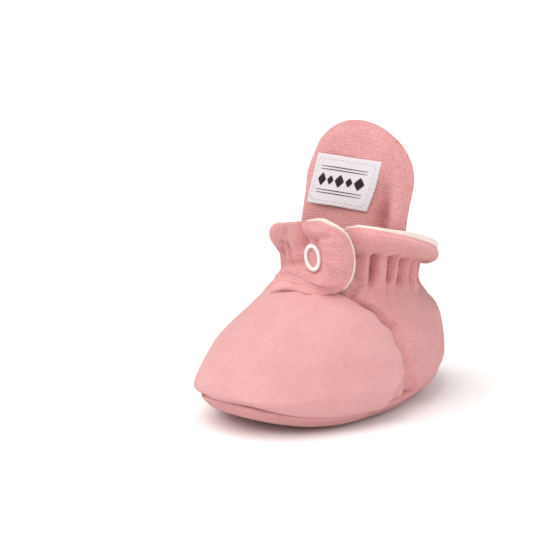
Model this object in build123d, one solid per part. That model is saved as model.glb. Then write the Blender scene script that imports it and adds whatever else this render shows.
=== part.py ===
from build123d import *
import os
from math import atan2, cos, degrees, hypot, pi, radians, sin, sqrt

# A soft baby bootie for a left foot, in millimetres. The toe points to -Y, the outer side of
# the foot is +X, and the sole rests on Z = 0. A padded sole carries a two-layer upper: a toe
# panel, two quarters that meet at the heel, an elastic casing round the ankle with a flared
# cuff above it, a tall tongue, and a flap that wraps over the front and snaps shut.

# ---- driving dimensions ----
OUTER = 1.6                 # outer knit fabric
LINING = 1.4                # cotton lining
ELASTIC = 1.0               # ankle elastic, let into the lining
SOLE_HALF_WIDTH = 30.0
SOLE_HALF_LENGTH = 52.5
SOLE_SKIN = 1.4             # outsole fabric
SOLE_PADDING = 3.6
INSOLE = 1.2
SOLE_EDGE = SOLE_SKIN + SOLE_PADDING   # height of the sole's side, up to the seam
TOE_SPRING = 6.5            # how far the sole curls up at the toe
HEEL_SPRING = 3.0
FLAT_FRONT = -20.0          # the sole lies flat between these
FLAT_BACK = 28.0

# Key slices of the outer skin, from the sole up to the rim of the cuff:
# (front y, front z, back y, back z, half width, taper towards the heel, rise towards the outer side)
SKIN_KEYS = [
    (-52.8, 2.5, 52.8, -0.5, 30.1, 0.10, 0.0),
    (-54.3, 8.4, 54.0, 6.0, 31.9, 0.10, 0.0),
    (-55.8, 14.0, 56.0, 13.0, 33.5, 0.09, 0.0),
    (-47.0, 24.0, 54.0, 22.5, 31.8, 0.07, 0.02),
    (-38.0, 30.6, 50.5, 29.5, 28.8, 0.05, 0.05),
    (-26.0, 37.2, 44.8, 33.6, 26.0, 0.02, 0.09),
    (-11.5, 46.6, 38.6, 37.6, 24.6, 0.0, 0.12),
    (-11.0, 55.5, 39.4, 43.6, 25.2, 0.0, 0.12),
    (-12.8, 63.3, 43.6, 45.6, 27.4, 0.0, 0.12),
    (-15.0, 70.0, 48.0, 47.0, 30.0, 0.0, 0.12),
]
CASING_LOW = 6              # the key slices where the elastic casing is stitched
CASING_HIGH = 7
SLICE_SPACING = 4.0         # between the slices that the skin is lofted through
SLICE_POINTS = 16

# The quarters' front edges, seen from the side as (y, z), from the sole up to the flap
QUARTER_EDGE = [(13.0, -4.0), (11.5, 5.0), (7.0, 13.0), (4.5, 21.0), (1.5, 31.0), (-4.5, 38.5), (-12.0, 44.3)]
ANKLE_CENTRE = (0.0, 13.5)
HINGE_SIDE_ANGLE = -39.5    # the quarters end at these angles from the toe, about the ankle
UNDERLAP_SIDE_ANGLE = 55.0

# Snap fastener: the axis points out of the front, a little to the inner side
SNAP_AZIMUTH = -16.0
SNAP_FACE = (5.3, -13.3, 54.5)          # centre of the ring's outer face
SNAP_RADIUS = 4.8
RING_HOLE_RADIUS = 3.3
RING = 1.0
SOCKET = 2.2
SOCKET_HOLE_RADIUS = 2.6
STUD_FLANGE = 0.7
STUD_RADIUS = 2.0
STUD_HEIGHT = 1.9
SNAP_GAP = 0.3
PRONG_RADIUS = 0.35
PRONG_CIRCLE = 4.05
PRONGS = 5

# Flap over the front, and the underlap beneath it
FLAP_OUTER = 1.5
FLAP_LINING = 1.1
FLAP_LOW = 44.8
FLAP_HIGH = 70.5
FLAP_ROOT = 18.0            # from the snap back to the flap's root
FLAP_REACH = 10.9           # from the snap to the corner where it turns round the side
FLAP_TURN = (21.0, -8.4)    # where the turned end stops
FLAP_BEND = 6.0             # radius of its outer face at the corner
FLAP_ROUNDING = 6.0         # how far its round end swells past the straight edges
UNDERLAP_LOW = 46.0
UNDERLAP_HIGH = 67.0
UNDERLAP_BACK = 8.0         # from the snap to the underlap's free end
UNDERLAP_REACH = 8.6
UNDERLAP_TURN = (24.0, 4.9)
UNDERLAP_BEND = 5.5

# Tongue, leaning back from the front of the ankle
TONGUE_YAW = 12.0
TONGUE_LEAN = 15.0
TONGUE_FRONT = (4.2, 4.9, 60.0)         # its outer face at the fold line
TONGUE_RADIUS = 34.0
TONGUE_HALF_WIDTH = 22.8
TONGUE_HEIGHT = 39.6
TONGUE_DOME = 21.0
TONGUE_OUTER = 1.6
TONGUE_PADDING = 1.4
TONGUE_LINING = 1.2
FOLD_GAP = 0.5
TONGUE_LOW_HALF_WIDTH = 18.5            # its sides draw in towards the fold, to clear the cuff
TONGUE_DRAW_IN = 9.5                    # and do so below this height
TONGUE_BASE_HALF_WIDTH = 16.0
TONGUE_BASE_PATH = [(-10.6, 42.2), (-2.4, 43.2), (4.6, 58.6)]
TONGUE_BASE_BEND = 5.0

# Woven label on the tongue
LABEL_WIDTH = 24.5
LABEL_HEIGHT = 17.0
LABEL = 0.5
LABEL_LOW = 11.0            # above the fold line
LABEL_STITCH_INSET = 1.5
THREAD_RADIUS = 0.25
STITCH_LENGTH = 1.5
STITCH_PITCH = 2.5
CASING_STITCH_LENGTH = 1.8
CASING_STITCH_PITCH = 3.0

WIDE = 90.0                 # larger than the bootie, for cutting tools


# ---- outer skin ----
def mean_step(low, high):
    """How far apart two slices are, on average over their front and back."""
    return (hypot(high[0] - low[0], high[1] - low[1]) + hypot(high[2] - low[2], high[3] - low[3])) / 2


def skin_slices():
    """Evenly spaced slices on smooth curves through the key slices."""
    keys = SKIN_KEYS
    marks = [0.0]
    for low, high in zip(keys, keys[1:]):
        marks.append(marks[-1] + mean_step(low, high))
    count = round(marks[-1] / SLICE_SPACING)
    slices = []
    for k in range(count + 1):
        mark = marks[-1] * k / count
        i = max(j for j in range(len(keys) - 1) if marks[j] <= mark + 1e-9)
        span = marks[i + 1] - marks[i]
        t = (mark - marks[i]) / span
        values = []
        for value in range(len(keys[0])):
            slopes = []
            for j in (i, i + 1):
                before, after = max(j - 1, 0), min(j + 1, len(keys) - 1)
                slopes.append((keys[after][value] - keys[before][value]) / (marks[after] - marks[before]))
            start, end = keys[i][value], keys[i + 1][value]
            values.append(start * (1 + 2 * t) * (1 - t) ** 2 + end * t * t * (3 - 2 * t)
                          + span * (slopes[0] * t * (1 - t) ** 2 - slopes[1] * t * t * (1 - t)))
        slices.append(tuple(values))
    return slices


SLICES = skin_slices()


def outward(before, after):
    """Unit normal of a side-view profile that climbs from before to after, leaning to the left."""
    step_y, step_z = after[0] - before[0], after[1] - before[1]
    length = hypot(step_y, step_z)
    return -step_z / length, step_y / length


def inset_slice(index, inset):
    """A slice of the skin, moved inwards by inset along the skin's own slope."""
    front_y, front_z, back_y, back_z, half_width, taper, rise = SLICES[index]
    low, high = SLICES[max(index - 1, 0)], SLICES[min(index + 1, len(SLICES) - 1)]
    ny, nz = outward(low[0:2], high[0:2])
    my, mz = outward((-low[2], low[3]), (-high[2], high[3]))
    return (front_y - ny * inset, front_z - nz * inset, back_y + my * inset, back_z - mz * inset,
            half_width - inset, taper, rise)


def slice_point(section, angle):
    """A point on a slice, at an angle from the toe towards the outer side of the foot."""
    front_y, front_z, back_y, back_z, half_width, taper, rise = section
    centre, half_length = (front_y + back_y) / 2, (back_y - front_y) / 2
    y = centre - half_length * cos(angle)
    x = half_width * sin(angle) * (1 + taper * cos(angle))
    z = front_z + (y - front_y) * (back_z - front_z) / (back_y - front_y) + rise * x
    return Vector(x, y, z)


def raised(section, height):
    """The same slice moved straight up."""
    return (section[0], section[1] + height, section[2], section[3] + height, *section[4:])


def slice_wire(section):
    """A slice's outline, in four smooth curves that meet at its corners."""
    curves = []
    steps = SLICE_POINTS // 4
    for quarter in range(4):
        first = (quarter + 0.5) * pi / 2
        angles = [first + pi / 2 * k / steps for k in range(steps + 1)]
        tangents = [slice_point(section, a + 0.001) - slice_point(section, a - 0.001)
                    for a in (angles[0], angles[-1])]
        curves.append(Spline(*[slice_point(section, a) for a in angles], tangents=tangents))
    return Wire(curves)


def skin_body(inset):
    """Everything inside the skin, moved inwards by inset. Inner bodies stand proud at the rim."""
    sections = [inset_slice(i, inset) for i in range(len(SLICES))]
    if inset:
        sections[-1] = raised(sections[-1], inset / 2)
    return Solid.make_loft([slice_wire(s) for s in sections])


# ---- cutting tools ----
def side_prism(face):
    """A face drawn in the YZ plane, carried right through the bootie along X."""
    return extrude(face, WIDE / 2, both=True)


def side_point(y, z):
    return Vector(0, y, z)


def rocker_line(height):
    """The sole's underside profile, raised by height: flat, with the toe and heel curling up."""
    toe_run, heel_run = SOLE_HALF_LENGTH + FLAT_FRONT, SOLE_HALF_LENGTH - FLAT_BACK
    toe_radius = (toe_run ** 2 + TOE_SPRING ** 2) / (2 * TOE_SPRING)
    heel_radius = (heel_run ** 2 + HEEL_SPRING ** 2) / (2 * HEEL_SPRING)
    toe_turn, heel_turn = atan2(toe_run * 1.25, toe_radius), atan2(heel_run * 1.35, heel_radius)

    def toe(turn):
        return side_point(FLAT_FRONT - toe_radius * sin(turn), height + toe_radius * (1 - cos(turn)))

    def heel(turn):
        return side_point(FLAT_BACK + heel_radius * sin(turn), height + heel_radius * (1 - cos(turn)))

    return [
        ThreePointArc(toe(toe_turn), toe(toe_turn / 2), toe(0)),
        Line(toe(0), heel(0)),
        ThreePointArc(heel(0), heel(heel_turn / 2), heel(heel_turn)),
    ]


def rocker_band(low, high):
    """All space between two heights above the sole's underside."""
    below, above = Wire(rocker_line(low)), Wire(rocker_line(high))
    ends = [Line(below @ 0, above @ 0), Line(below @ 1, above @ 1)]
    return side_prism(Face(Wire([*below.edges(), *above.edges(), *ends])))


def toe_region():
    """Space ahead of the quarters' front edges."""
    edge = Spline(*[side_point(y, z) for y, z in QUARTER_EDGE])
    top_y, top_z = QUARTER_EDGE[-1]
    low_y, low_z = QUARTER_EDGE[0]
    rest = Polyline(side_point(top_y, top_z), side_point(-WIDE, top_z + 4),
                    side_point(-WIDE, low_z), side_point(low_y, low_z))
    return side_prism(Face(Wire([edge, *rest.edges()])))


def ankle_wedge(first, second, low):
    """Upright wedge about the ankle between two angles from the toe, above a height."""
    cx, cy = ANKLE_CENTRE
    corners = [Vector(cx, cy)]
    steps = 4
    for k in range(steps + 1):
        angle = radians(first + (second - first) * k / steps)
        corners.append(Vector(cx + WIDE * sin(angle), cy - WIDE * cos(angle)))
    face = Face(Wire(Polyline(*corners, close=True).edges()))
    return Pos(0, 0, low) * extrude(face, WIDE)


def side_half(sign):
    """Space on one side of the heel seam: +1 is the outer side of the foot."""
    return Pos(sign * WIDE / 2, 0, 0) * Box(WIDE, 2 * WIDE, 3 * WIDE)


# ---- sole ----
def sole_prism(inset):
    half_length, half_width = SOLE_HALF_LENGTH - inset, SOLE_HALF_WIDTH - inset
    section = (-half_length, 0, half_length, 0, half_width, SKIN_KEYS[0][5], 0)
    return Pos(0, 0, -1) * extrude(Face(slice_wire(section)), 40)


def make_sole():
    inside = sole_prism(SOLE_SKIN)
    outsole = (sole_prism(0) & rocker_band(0, SOLE_EDGE)) - (inside & rocker_band(SOLE_SKIN, WIDE))
    padding = inside & rocker_band(SOLE_SKIN, SOLE_EDGE)
    return outsole, padding


# ---- upper ----
def make_upper():
    """The two layers of the upper, cut into panels, with the elastic let into the lining."""
    skin, middle, inner = (skin_body(i) for i in (0, OUTER, OUTER + LINING))
    above = rocker_band(SOLE_EDGE, 2 * WIDE)
    outer_layer = (skin - middle) & above
    lining_layer = (middle - inner) & above
    elastic_back = skin_body(OUTER + ELASTIC)
    toe = toe_region()
    front = ankle_wedge(HINGE_SIDE_ANGLE, UNDERLAP_SIDE_ANGLE, QUARTER_EDGE[-1][1] - 4)

    band = slice_slab(CASING_LOW, CASING_HIGH)
    elastic = ((middle - elastic_back) & band) - front
    insole = (inner & rocker_band(SOLE_EDGE, SOLE_EDGE + INSOLE))

    panels = {}
    for layer, suffix in ((outer_layer, ""), (lining_layer, "_lining")):
        rear = (layer - toe) - front
        if suffix:
            rear = rear - elastic
        panels["toe_panel" + suffix] = layer & toe
        panels["outer_quarter" + suffix] = rear & side_half(1)
        panels["inner_quarter" + suffix] = rear & side_half(-1)
    panels["ankle_elastic"] = elastic
    panels["insole"] = insole
    return panels


def slice_slab(low, high):
    """All space between the planes of two slices, pulled in a little from each."""
    margin = 0.8

    def line(index, lift):
        front_y, front_z, back_y, back_z = SKIN_KEYS[index][:4]
        slope = (back_z - front_z) / (back_y - front_y)
        return [side_point(y, front_z + (y - front_y) * slope + lift) for y in (-WIDE, WIDE)]

    below, above = line(low, margin), line(high, -margin)
    slab = side_prism(Face(Wire(Polyline(*below, *reversed(above), close=True).edges())))
    return Rot(0, -degrees(atan2(SKIN_KEYS[low][6], 1)), 0) * slab


def stitch(start, end, radius):
    """One stitch: a short round thread between two points."""
    run = end - start
    return Plane(origin=start, z_dir=run) * Cylinder(
        radius, run.length, align=(Align.CENTER, Align.CENTER, Align.MIN))


def casing_stitches(index):
    """A row of stitches round the ankle, on one slice of the skin."""
    section = SKIN_KEYS[index]
    first, last = radians(UNDERLAP_SIDE_ANGLE + 4), radians(360 + HINGE_SIDE_ANGLE - 4)
    radius = (section[2] - section[0]) / 2
    count = int((last - first) * radius / CASING_STITCH_PITCH)
    half = CASING_STITCH_LENGTH / 2 / radius
    stitches = []
    for k in range(count):
        angle = first + (last - first) * (k + 0.5) / count
        stitches.append(stitch(slice_point(section, angle - half), slice_point(section, angle + half),
                               THREAD_RADIUS))
    return Compound(children=stitches)


# ---- snap fastener ----
INWARD = Vector(-sin(radians(SNAP_AZIMUTH)), cos(radians(SNAP_AZIMUTH)), 0)
ALONG = Vector(cos(radians(SNAP_AZIMUTH)), sin(radians(SNAP_AZIMUTH)), 0)   # round to the outer side
FLAP_DEPTH = RING - 0.1                                 # from the ring's face to the flap's face
SOCKET_DEPTH = FLAP_DEPTH + FLAP_OUTER + FLAP_LINING
FLANGE_DEPTH = SOCKET_DEPTH + SOCKET + SNAP_GAP
UNDERLAP_DEPTH = FLANGE_DEPTH + STUD_FLANGE
BACK_RING_DEPTH = UNDERLAP_DEPTH + FLAP_OUTER + FLAP_LINING


def snap_disc(depth, thickness, radius):
    """A disc on the snap's axis whose near face is depth below the ring's face."""
    at = Vector(*SNAP_FACE) + INWARD * depth
    return Plane(origin=at, x_dir=ALONG, z_dir=INWARD) * Cylinder(
        radius, thickness, align=(Align.CENTER, Align.CENTER, Align.MIN))


def softened(shape, radius):
    """Rounds a turned part's free edges."""
    return fillet(shape.edges().filter_by(GeomType.CIRCLE), radius)


def prongs(depth, length):
    """The ring's prongs, which pierce the fabric."""
    plane = Plane(origin=Vector(*SNAP_FACE) + INWARD * depth, x_dir=ALONG, z_dir=INWARD)
    spots = PolarLocations(PRONG_CIRCLE, PRONGS).locations
    return [plane * (spot * Cylinder(PRONG_RADIUS, length, align=(Align.CENTER, Align.CENTER, Align.MIN)))
            for spot in spots]


def pronged_ring(depth, prong_start, prong_length):
    ring = softened(snap_disc(depth, RING, SNAP_RADIUS) - snap_disc(depth, RING, RING_HOLE_RADIUS), 0.4)
    for prong in prongs(prong_start, prong_length):
        ring = ring + prong
    return ring


def make_snap():
    cap = pronged_ring(0, RING * 0.5, RING * 0.5 + FLAP_OUTER + FLAP_LINING - 0.15)
    socket = snap_disc(SOCKET_DEPTH, SOCKET, SNAP_RADIUS)
    socket = socket - snap_disc(SOCKET_DEPTH, SOCKET, SOCKET_HOLE_RADIUS)
    socket = softened(socket, 0.4)
    post_depth = FLANGE_DEPTH - STUD_HEIGHT
    stud = snap_disc(FLANGE_DEPTH, STUD_FLANGE, SNAP_RADIUS)
    stud = stud + softened(snap_disc(post_depth, STUD_HEIGHT + STUD_FLANGE, STUD_RADIUS), 0.5)
    back_depth = BACK_RING_DEPTH
    back = pronged_ring(back_depth, UNDERLAP_DEPTH + 0.05, FLAP_OUTER + FLAP_LINING + RING * 0.5)
    return cap, socket, stud, back


# ---- flap and underlap ----
def snap_axis_point(depth):
    """A point on the snap's axis, depth below the ring's face, brought down to Z = 0."""
    return Vector(SNAP_FACE[0], SNAP_FACE[1], 0) + INWARD * depth


def towards_foot(start, end):
    """Unit normal of a run of fabric that goes round to the outer side, pointing at the foot."""
    run = (end - start).normalized()
    return Vector(-run.Y, run.X, 0)


def wrap_band(first_depth, depth, thickness, back, reach, turn, bend, low, high):
    """An upright layer that runs past the snap and turns round the outer side of the ankle.
    The back, reach and turn points are those of a face at first_depth on the snap's axis."""
    origin = snap_axis_point(first_depth)
    start, corner, end = origin - ALONG * back, origin + ALONG * reach, Vector(*turn, 0)
    front_side, turned_side = towards_foot(start, corner), towards_foot(corner, end)
    drop = depth - first_depth + thickness / 2
    path = FilletPolyline(
        start + front_side * drop,
        corner + (front_side + turned_side) * (drop / (1 + front_side.dot(turned_side))),
        end + turned_side * drop,
        radius=bend - drop)
    section = Plane(origin=path @ 0, x_dir=INWARD, z_dir=path % 0) * Rectangle(thickness, high - low)
    return Pos(0, 0, (low + high) / 2) * sweep(section, path=path)


def tab_outline(depth, reach, turn, low, high, rounding):
    """Space inside a tab whose turned end is rounded, looking square on at that end."""
    corner, end = snap_axis_point(depth) + ALONG * reach, Vector(*turn, 0)
    plane = Plane(origin=end + Vector(0, 0, (low + high) / 2), x_dir=end - corner,
                  z_dir=-towards_foot(corner, end))
    height = high - low
    face = Pos(-rounding - WIDE / 2, 0) * Rectangle(WIDE, height) + Pos(-rounding, 0) * Ellipse(
        rounding, height / 2)
    return extrude(plane * face, WIDE / 2, both=True)


def make_flap():
    tab = tab_outline(FLAP_DEPTH, FLAP_REACH, FLAP_TURN, FLAP_LOW, FLAP_HIGH, FLAP_ROUNDING)
    layers = []
    depth = FLAP_DEPTH
    for thickness in (FLAP_OUTER, FLAP_LINING):
        band = wrap_band(FLAP_DEPTH, depth, thickness, FLAP_ROOT, FLAP_REACH, FLAP_TURN, FLAP_BEND,
                         FLAP_LOW, FLAP_HIGH)
        layers.append(band & tab)
        depth += thickness
    return layers


def make_underlap():
    """The outer quarter's front edge, carried on beneath the flap."""
    front = ankle_wedge(HINGE_SIDE_ANGLE, UNDERLAP_SIDE_ANGLE, 0)
    layers = []
    depth = UNDERLAP_DEPTH
    for thickness in (FLAP_OUTER, FLAP_LINING):
        band = wrap_band(UNDERLAP_DEPTH, depth, thickness, UNDERLAP_BACK, UNDERLAP_REACH, UNDERLAP_TURN,
                         UNDERLAP_BEND, UNDERLAP_LOW, UNDERLAP_HIGH)
        layers.append(band & front)
        depth += thickness
    return layers


def export(shapes):
    os.makedirs("parts", exist_ok=True)
    for name, shape in shapes.items():
        shape = shape if isinstance(shape, (Solid, Compound)) else Compound(children=[shape])
        export_step(shape, f"parts/{name}.step")


# ---- tongue and label ----
def tongue_plane():
    yaw = radians(TONGUE_YAW)
    lean = radians(TONGUE_LEAN)
    facing = Vector(sin(yaw), -cos(yaw), 0)
    up = facing * -sin(lean) + Vector(0, 0, cos(lean))
    return Plane(origin=Vector(*TONGUE_FRONT), x_dir=Vector(cos(yaw), sin(yaw), 0), z_dir=up)


def tongue_shell(depth, thickness, low, high):
    """Curved layer of the tongue in its own frame, whose outer face is depth behind the front."""
    outer = Cylinder(TONGUE_RADIUS - depth, high - low, align=(Align.CENTER, Align.CENTER, Align.MIN))
    hollow = Cylinder(TONGUE_RADIUS - depth - thickness, high - low,
                      align=(Align.CENTER, Align.CENTER, Align.MIN))
    return Pos(0, TONGUE_RADIUS, low) * (outer - hollow)


def tongue_outline():
    """Space inside the tongue's dome-topped outline, in its own frame."""
    straight = TONGUE_HEIGHT - TONGUE_DOME
    half = TONGUE_HALF_WIDTH
    dome = EllipticalCenterArc((0, straight), half, TONGUE_DOME, start_angle=0, arc_size=180)
    low_half = TONGUE_LOW_HALF_WIDTH
    sides = Polyline((-half, straight), (-half, TONGUE_DRAW_IN), (-low_half, FOLD_GAP),
                     (low_half, FOLD_GAP), (half, TONGUE_DRAW_IN), (half, straight))
    face = Face(Wire([dome, *sides.edges()]))
    front_of_axis = Plane(origin=(0, TONGUE_RADIUS / 2, 0), x_dir=(1, 0, 0), z_dir=(0, -1, 0))
    return front_of_axis * extrude(face, TONGUE_RADIUS)


def make_tongue():
    plane, outline = tongue_plane(), tongue_outline()
    layers = []
    depth = 0
    for thickness in (TONGUE_OUTER, TONGUE_PADDING, TONGUE_LINING):
        layers.append(plane * (tongue_shell(depth, thickness, 0, TONGUE_HEIGHT) & outline))
        depth += thickness
    return layers


def make_label():
    patch = Pos(0, 0, LABEL_LOW + LABEL_HEIGHT / 2) * Box(LABEL_WIDTH, TONGUE_RADIUS, LABEL_HEIGHT)
    return tongue_plane() * (tongue_shell(-LABEL, LABEL, 0, TONGUE_HEIGHT) & patch)


def label_stitches():
    """Running stitches round the label, a little inside its edge."""
    half_width = LABEL_WIDTH / 2 - LABEL_STITCH_INSET
    low, high = LABEL_LOW + LABEL_STITCH_INSET, LABEL_LOW + LABEL_HEIGHT - LABEL_STITCH_INSET
    radius = TONGUE_RADIUS + LABEL
    plane = tongue_plane()

    def on_label(x, z):
        return plane.from_local_coords(Vector(x, TONGUE_RADIUS - sqrt(radius ** 2 - x ** 2), z))

    stitches = []

    def row(start, end):
        length = hypot(end[0] - start[0], end[1] - start[1])
        count = int(length / STITCH_PITCH)
        for k in range(count):
            middle = (k + 0.5) / count
            share = STITCH_LENGTH / 2 / length
            ends = [(start[0] + (end[0] - start[0]) * t, start[1] + (end[1] - start[1]) * t)
                    for t in (middle - share, middle + share)]
            stitches.append(stitch(on_label(*ends[0]), on_label(*ends[1]), THREAD_RADIUS))

    for z in (low, high):
        row((-half_width, z), (half_width, z))
    for x in (-half_width, half_width):
        row((x, low), (x, high))
    return Compound(children=stitches)


def make_tongue_base():
    """The tongue's root: it runs in under the flap from the toe panel, then bends upwards."""
    inside = skin_body(OUTER + LINING + 0.1)
    fold = Vector(TONGUE_FRONT[0], TONGUE_FRONT[1], 0)
    turned = Pos(fold) * Rot(0, 0, TONGUE_YAW) * Pos(0, -TONGUE_FRONT[1], 0)
    path = FilletPolyline(*[side_point(y, z) for y, z in TONGUE_BASE_PATH], radius=TONGUE_BASE_BEND)
    start = path @ 0
    run = path % 0
    layers = []
    depth = 0
    for thickness in (TONGUE_OUTER, TONGUE_LINING):
        section = Plane(origin=start, x_dir=(1, 0, 0), z_dir=run) * (
            Pos(0, depth + thickness / 2) * Rectangle(2 * TONGUE_BASE_HALF_WIDTH, thickness))
        layers.append(turned * sweep(section, path=path) & inside)
        depth += thickness
    return layers


def main():
    parts = {}
    parts["outsole"], parts["sole_padding"] = make_sole()
    parts.update(make_upper())
    parts["casing_thread_lower"] = casing_stitches(CASING_LOW)
    parts["casing_thread_upper"] = casing_stitches(CASING_HIGH)
    parts["snap_ring"], parts["snap_socket"], parts["snap_stud"], parts["snap_back_ring"] = make_snap()
    parts["flap"], parts["flap_lining"] = make_flap()
    parts["underlap"], parts["underlap_lining"] = make_underlap()
    parts["tongue"], parts["tongue_padding"], parts["tongue_lining"] = make_tongue()
    parts["tongue_base"], parts["tongue_base_lining"] = make_tongue_base()
    parts["woven_label"] = make_label()
    parts["label_thread"] = label_stitches()
    export(parts)


main()
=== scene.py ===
import math

import bpy
import numpy as np
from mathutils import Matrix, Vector


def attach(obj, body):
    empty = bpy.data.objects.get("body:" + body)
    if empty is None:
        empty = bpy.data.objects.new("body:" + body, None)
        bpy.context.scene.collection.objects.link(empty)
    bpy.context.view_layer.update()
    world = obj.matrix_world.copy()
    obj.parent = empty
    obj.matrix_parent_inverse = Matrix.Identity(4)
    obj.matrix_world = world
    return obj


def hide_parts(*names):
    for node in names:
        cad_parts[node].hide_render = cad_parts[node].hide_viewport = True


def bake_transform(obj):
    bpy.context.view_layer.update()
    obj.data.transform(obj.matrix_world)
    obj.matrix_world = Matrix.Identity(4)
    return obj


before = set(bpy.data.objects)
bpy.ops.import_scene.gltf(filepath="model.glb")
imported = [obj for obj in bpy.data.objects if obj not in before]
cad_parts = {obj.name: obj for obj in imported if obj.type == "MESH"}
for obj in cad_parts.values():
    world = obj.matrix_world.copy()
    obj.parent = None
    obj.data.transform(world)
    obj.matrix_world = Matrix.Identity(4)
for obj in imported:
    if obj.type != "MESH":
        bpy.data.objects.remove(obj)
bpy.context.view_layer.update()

MM = 0.001

# ---------- camera, light and floor
AZIMUTH, ELEVATION = 42.0, 13.0
CAMERA_DISTANCE = 0.70
PIXELS, PIXELS_PER_MM, SENSOR = 535, 2.85, 36.0
AIM = Vector((-21.8, -5.4, 45.6)) * MM
SUN_AZIMUTH, SUN_ELEVATION, SUN_SOFTNESS, SUN_STRENGTH = -14, 60, 60, 2.25
FILL_AZIMUTH, FILL_ELEVATION, FILL_DISTANCE, FILL_SIZE, FILL_POWER = 96, 30, 1.1, 0.8, 2.3
SKY_STRENGTH = 0.66
FLOOR_REACH, FLOOR_GAP = 6.0, 0.0002


def around(azimuth, elevation):
    """Unit vector from the bootie towards a viewer at that azimuth and elevation."""
    a, e = math.radians(azimuth), math.radians(elevation)
    return Vector((math.sin(a) * math.cos(e), -math.cos(a) * math.cos(e), math.sin(e)))


def facing(place, target):
    """Rotation that points a camera or light at a target."""
    return (target - place).to_track_quat("-Z", "Y").to_euler()


def add(name, data):
    """A new object in the scene."""
    obj = bpy.data.objects.new(name, data)
    bpy.context.collection.objects.link(obj)
    return obj


def put(node, values):
    """Set a node's inputs by name."""
    for key, value in values.items():
        node.inputs[key].default_value = value


def make_camera():
    data = bpy.data.cameras.new("camera")
    camera = add("camera", data)
    data.sensor_width = SENSOR
    data.lens = PIXELS_PER_MM * SENSOR * CAMERA_DISTANCE / MM / PIXELS
    data.clip_start, data.clip_end = 0.01, 20
    camera.location = AIM + around(AZIMUTH, ELEVATION) * CAMERA_DISTANCE
    camera.rotation_euler = facing(camera.location, AIM)
    bpy.context.scene.camera = camera


def make_fill_light():
    data = bpy.data.lights.new("fill_light", "AREA")
    data.shape, data.size, data.energy, data.color = "DISK", FILL_SIZE, FILL_POWER, (1.0, 0.99, 0.99)
    light = add("fill_light", data)
    middle = Vector((0, 0, 0.04))
    light.location = middle + around(FILL_AZIMUTH, FILL_ELEVATION) * FILL_DISTANCE
    light.rotation_euler = facing(light.location, middle)


def make_sun():
    data = bpy.data.lights.new("sun", "SUN")
    data.angle, data.energy, data.color = math.radians(SUN_SOFTNESS), SUN_STRENGTH, (1.0, 0.985, 0.97)
    add("sun", data).rotation_euler = facing(around(SUN_AZIMUTH, SUN_ELEVATION), Vector((0, 0, 0)))


def make_studio():
    make_sun()
    make_fill_light()
    world = bpy.data.worlds.new("studio")
    bpy.context.scene.world = world
    world.use_nodes = True
    put(world.node_tree.nodes["Background"], {"Color": (1, 1, 1, 1), "Strength": SKY_STRENGTH})
    far = FLOOR_REACH
    mesh = bpy.data.meshes.new("floor")
    mesh.from_pydata([(-far, -far, 0), (far, -far, 0), (far, far, 0), (-far, far, 0)], [], [(0, 1, 2, 3)])
    floor = add("floor", mesh)
    floor.location.z = -FLOOR_GAP
    material, _, _, shader = new_material("floor_paper", (0.93, 0.93, 0.93), 0.9)
    put(shader, {"Specular IOR Level": 0.1})
    mesh.materials.append(material)
    bpy.context.scene.view_settings.view_transform = "Standard"


# ---------- materials
def new_material(name, colour, roughness):
    material = bpy.data.materials.new(name)
    material.use_nodes = True
    nodes, links = material.node_tree.nodes, material.node_tree.links
    shader = nodes["Principled BSDF"]
    put(shader, {"Base Color": (*colour, 1), "Roughness": roughness})
    return material, nodes, links, shader


class Maker:
    """Short hands for building a node tree."""

    def __init__(self, nodes, links):
        self.nodes, self.links = nodes, links

    def link(self, value, socket):
        if isinstance(value, bpy.types.NodeSocket):
            self.links.new(value, socket)
        else:
            socket.default_value = value

    def math(self, operation, a, b=0.0):
        node = self.nodes.new("ShaderNodeMath")
        node.operation = operation
        for value, socket in zip((a, b), node.inputs):
            self.link(value, socket)
        return node.outputs[0]

    def noise(self, vector, scale, detail, roughness=0.5):
        node = self.nodes.new("ShaderNodeTexNoise")
        self.link(vector, node.inputs["Vector"])
        put(node, {"Scale": scale, "Detail": detail, "Roughness": roughness})
        return node.outputs["Fac"]

    def span(self, value, low, high, to_low, to_high):
        node = self.nodes.new("ShaderNodeMapRange")
        for given, socket in zip((value, low, high, to_low, to_high), node.inputs):
            self.link(given, socket)
        return node.outputs[0]

    def mix(self, factor, a, b):
        node = self.nodes.new("ShaderNodeMix")
        node.data_type = "RGBA"
        for value, socket in ((factor, 0), (a, 6), (b, 7)):
            self.link(value, node.inputs[socket])
        return node.outputs[2]

    def bump(self, height, distance, normal=None):
        node = self.nodes.new("ShaderNodeBump")
        self.link(height, node.inputs["Height"])
        put(node, {"Distance": distance})
        if normal is not None:
            self.links.new(normal, node.inputs["Normal"])
        return node.outputs[0]

    def uv(self):
        """The cloth's UV map, and its two numbers."""
        node = self.nodes.new("ShaderNodeUVMap")
        node.uv_map = "cloth"
        split = self.nodes.new("ShaderNodeSeparateXYZ")
        self.links.new(node.outputs["UV"], split.inputs[0])
        return node.outputs["UV"], split.outputs[0], split.outputs[1]


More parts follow.
